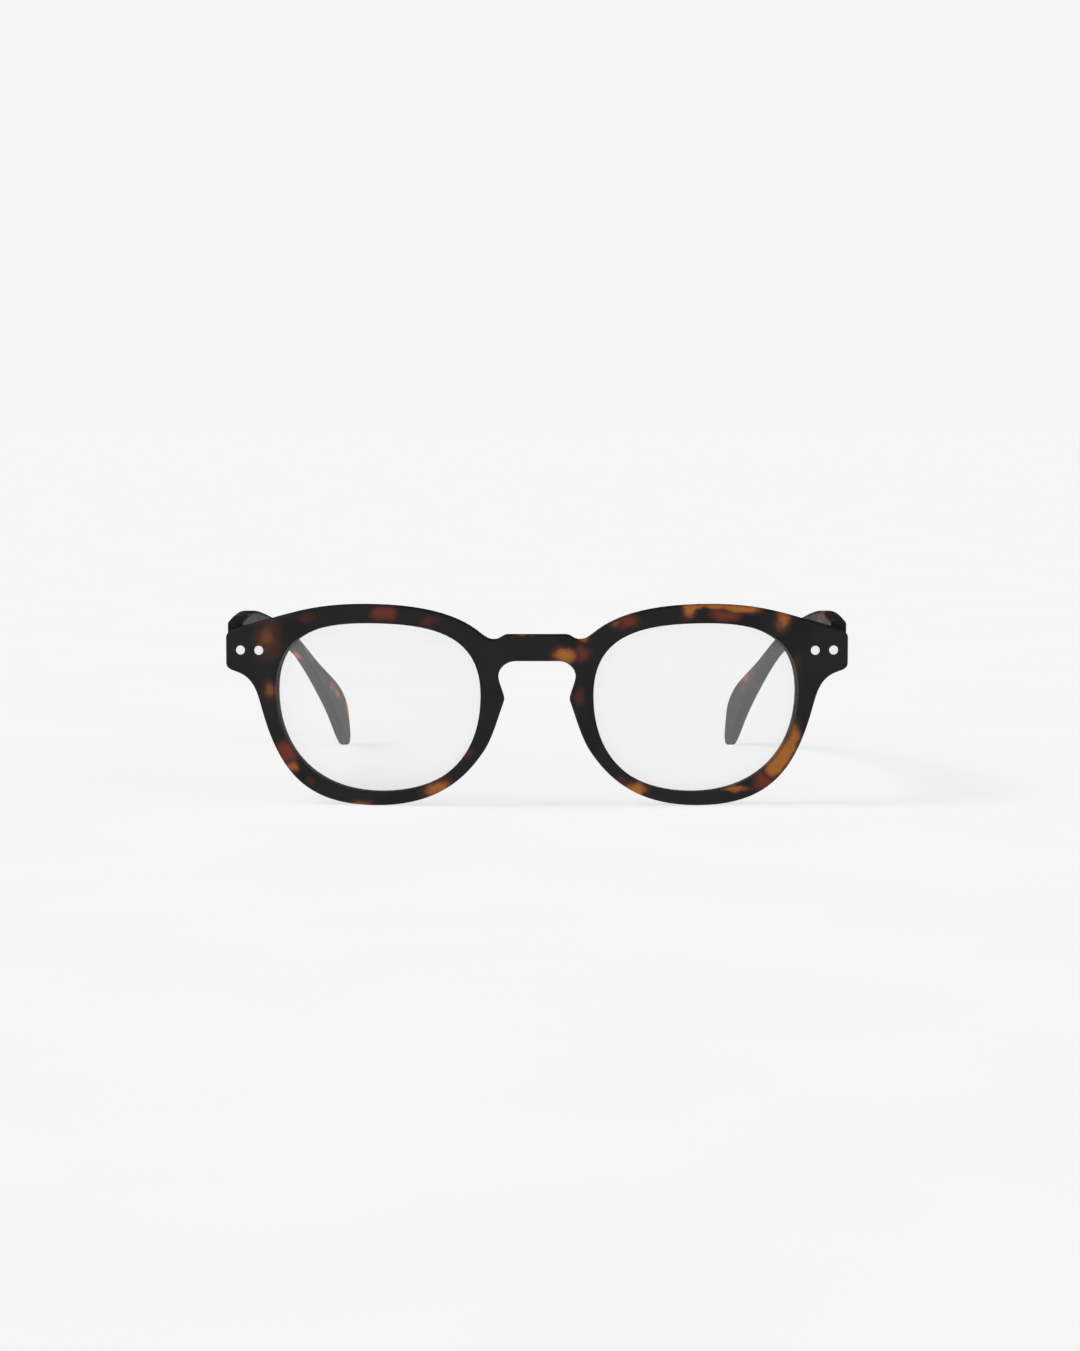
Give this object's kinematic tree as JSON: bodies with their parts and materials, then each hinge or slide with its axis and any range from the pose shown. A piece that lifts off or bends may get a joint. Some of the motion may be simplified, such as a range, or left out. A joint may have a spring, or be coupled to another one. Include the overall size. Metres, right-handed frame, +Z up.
{
  "type": "folding reading glasses",
  "caption": "Round-eyed full-rim reading glasses with a keyhole bridge, riveted end pieces and sprung folding temples.",
  "frame": {"origin": "on the table under the middle of the standing glasses", "axes": "+X towards the wearer's left, +Y from the front back along the temples, +Z up"},
  "size_m": [0.1382, 0.14, 0.0444],
  "materials": {
    "tortoiseshell_front": "matt moulded, dark tortoiseshell",
    "tortoiseshell_temple": "matt moulded, dark tortoiseshell",
    "lens": "clear polished, coated",
    "hinge_steel": "satin nickel plated",
    "case_steel": "satin nickel plated",
    "rivet_steel": "polished flat heads",
    "screw_steel": "turned",
    "spring_wire": "drawn wire"
  },
  "bodies": {
    "front": {"front_frame": "tortoiseshell_front", "lens_left": "lens", "hinge_leaf_left": "hinge_steel", "rivet_inner_left": "rivet_steel", "rivet_outer_left": "rivet_steel", "hinge_screw_left": "screw_steel", "lens_right": "lens", "hinge_leaf_right": "hinge_steel", "rivet_inner_right": "rivet_steel", "rivet_outer_right": "rivet_steel", "hinge_screw_right": "screw_steel"},
    "slider_left": {"hinge_slider_left": "hinge_steel", "hinge_spring_left": "spring_wire", "spring_nut_left": "screw_steel"},
    "temple_left": {"temple_left": "tortoiseshell_temple", "spring_case_left": "case_steel", "case_rivets_left": "rivet_steel"},
    "slider_right": {"hinge_slider_right": "hinge_steel", "hinge_spring_right": "spring_wire", "spring_nut_right": "screw_steel"},
    "temple_right": {"temple_right": "tortoiseshell_temple", "spring_case_right": "case_steel", "case_rivets_right": "rivet_steel"}
  },
  "joints": [
    {"name": "fold_left", "type": "hinge", "parent": "front", "child": "slider_left", "pos_m": [0.0642, -0.05445, 0.034], "axis": [0, 0, 1], "range_deg": [0, 85]},
    {"name": "spring_draw_left", "type": "slide", "parent": "slider_left", "child": "temple_left", "axis": [0, 1, 0], "range_m": [0, 0.001], "stiffness_N_per_m": 1800, "springref_m": -0.001, "deforming": ["hinge_spring_left"]},
    {"name": "fold_right", "type": "hinge", "parent": "front", "child": "slider_right", "pos_m": [-0.0642, -0.05445, 0.034], "axis": [0, 0, -1], "range_deg": [0, 78]},
    {"name": "spring_draw_right", "type": "slide", "parent": "slider_right", "child": "temple_right", "axis": [0, 1, 0], "range_m": [0, 0.001], "stiffness_N_per_m": 1800, "springref_m": -0.001, "deforming": ["hinge_spring_right"]}
  ]
}
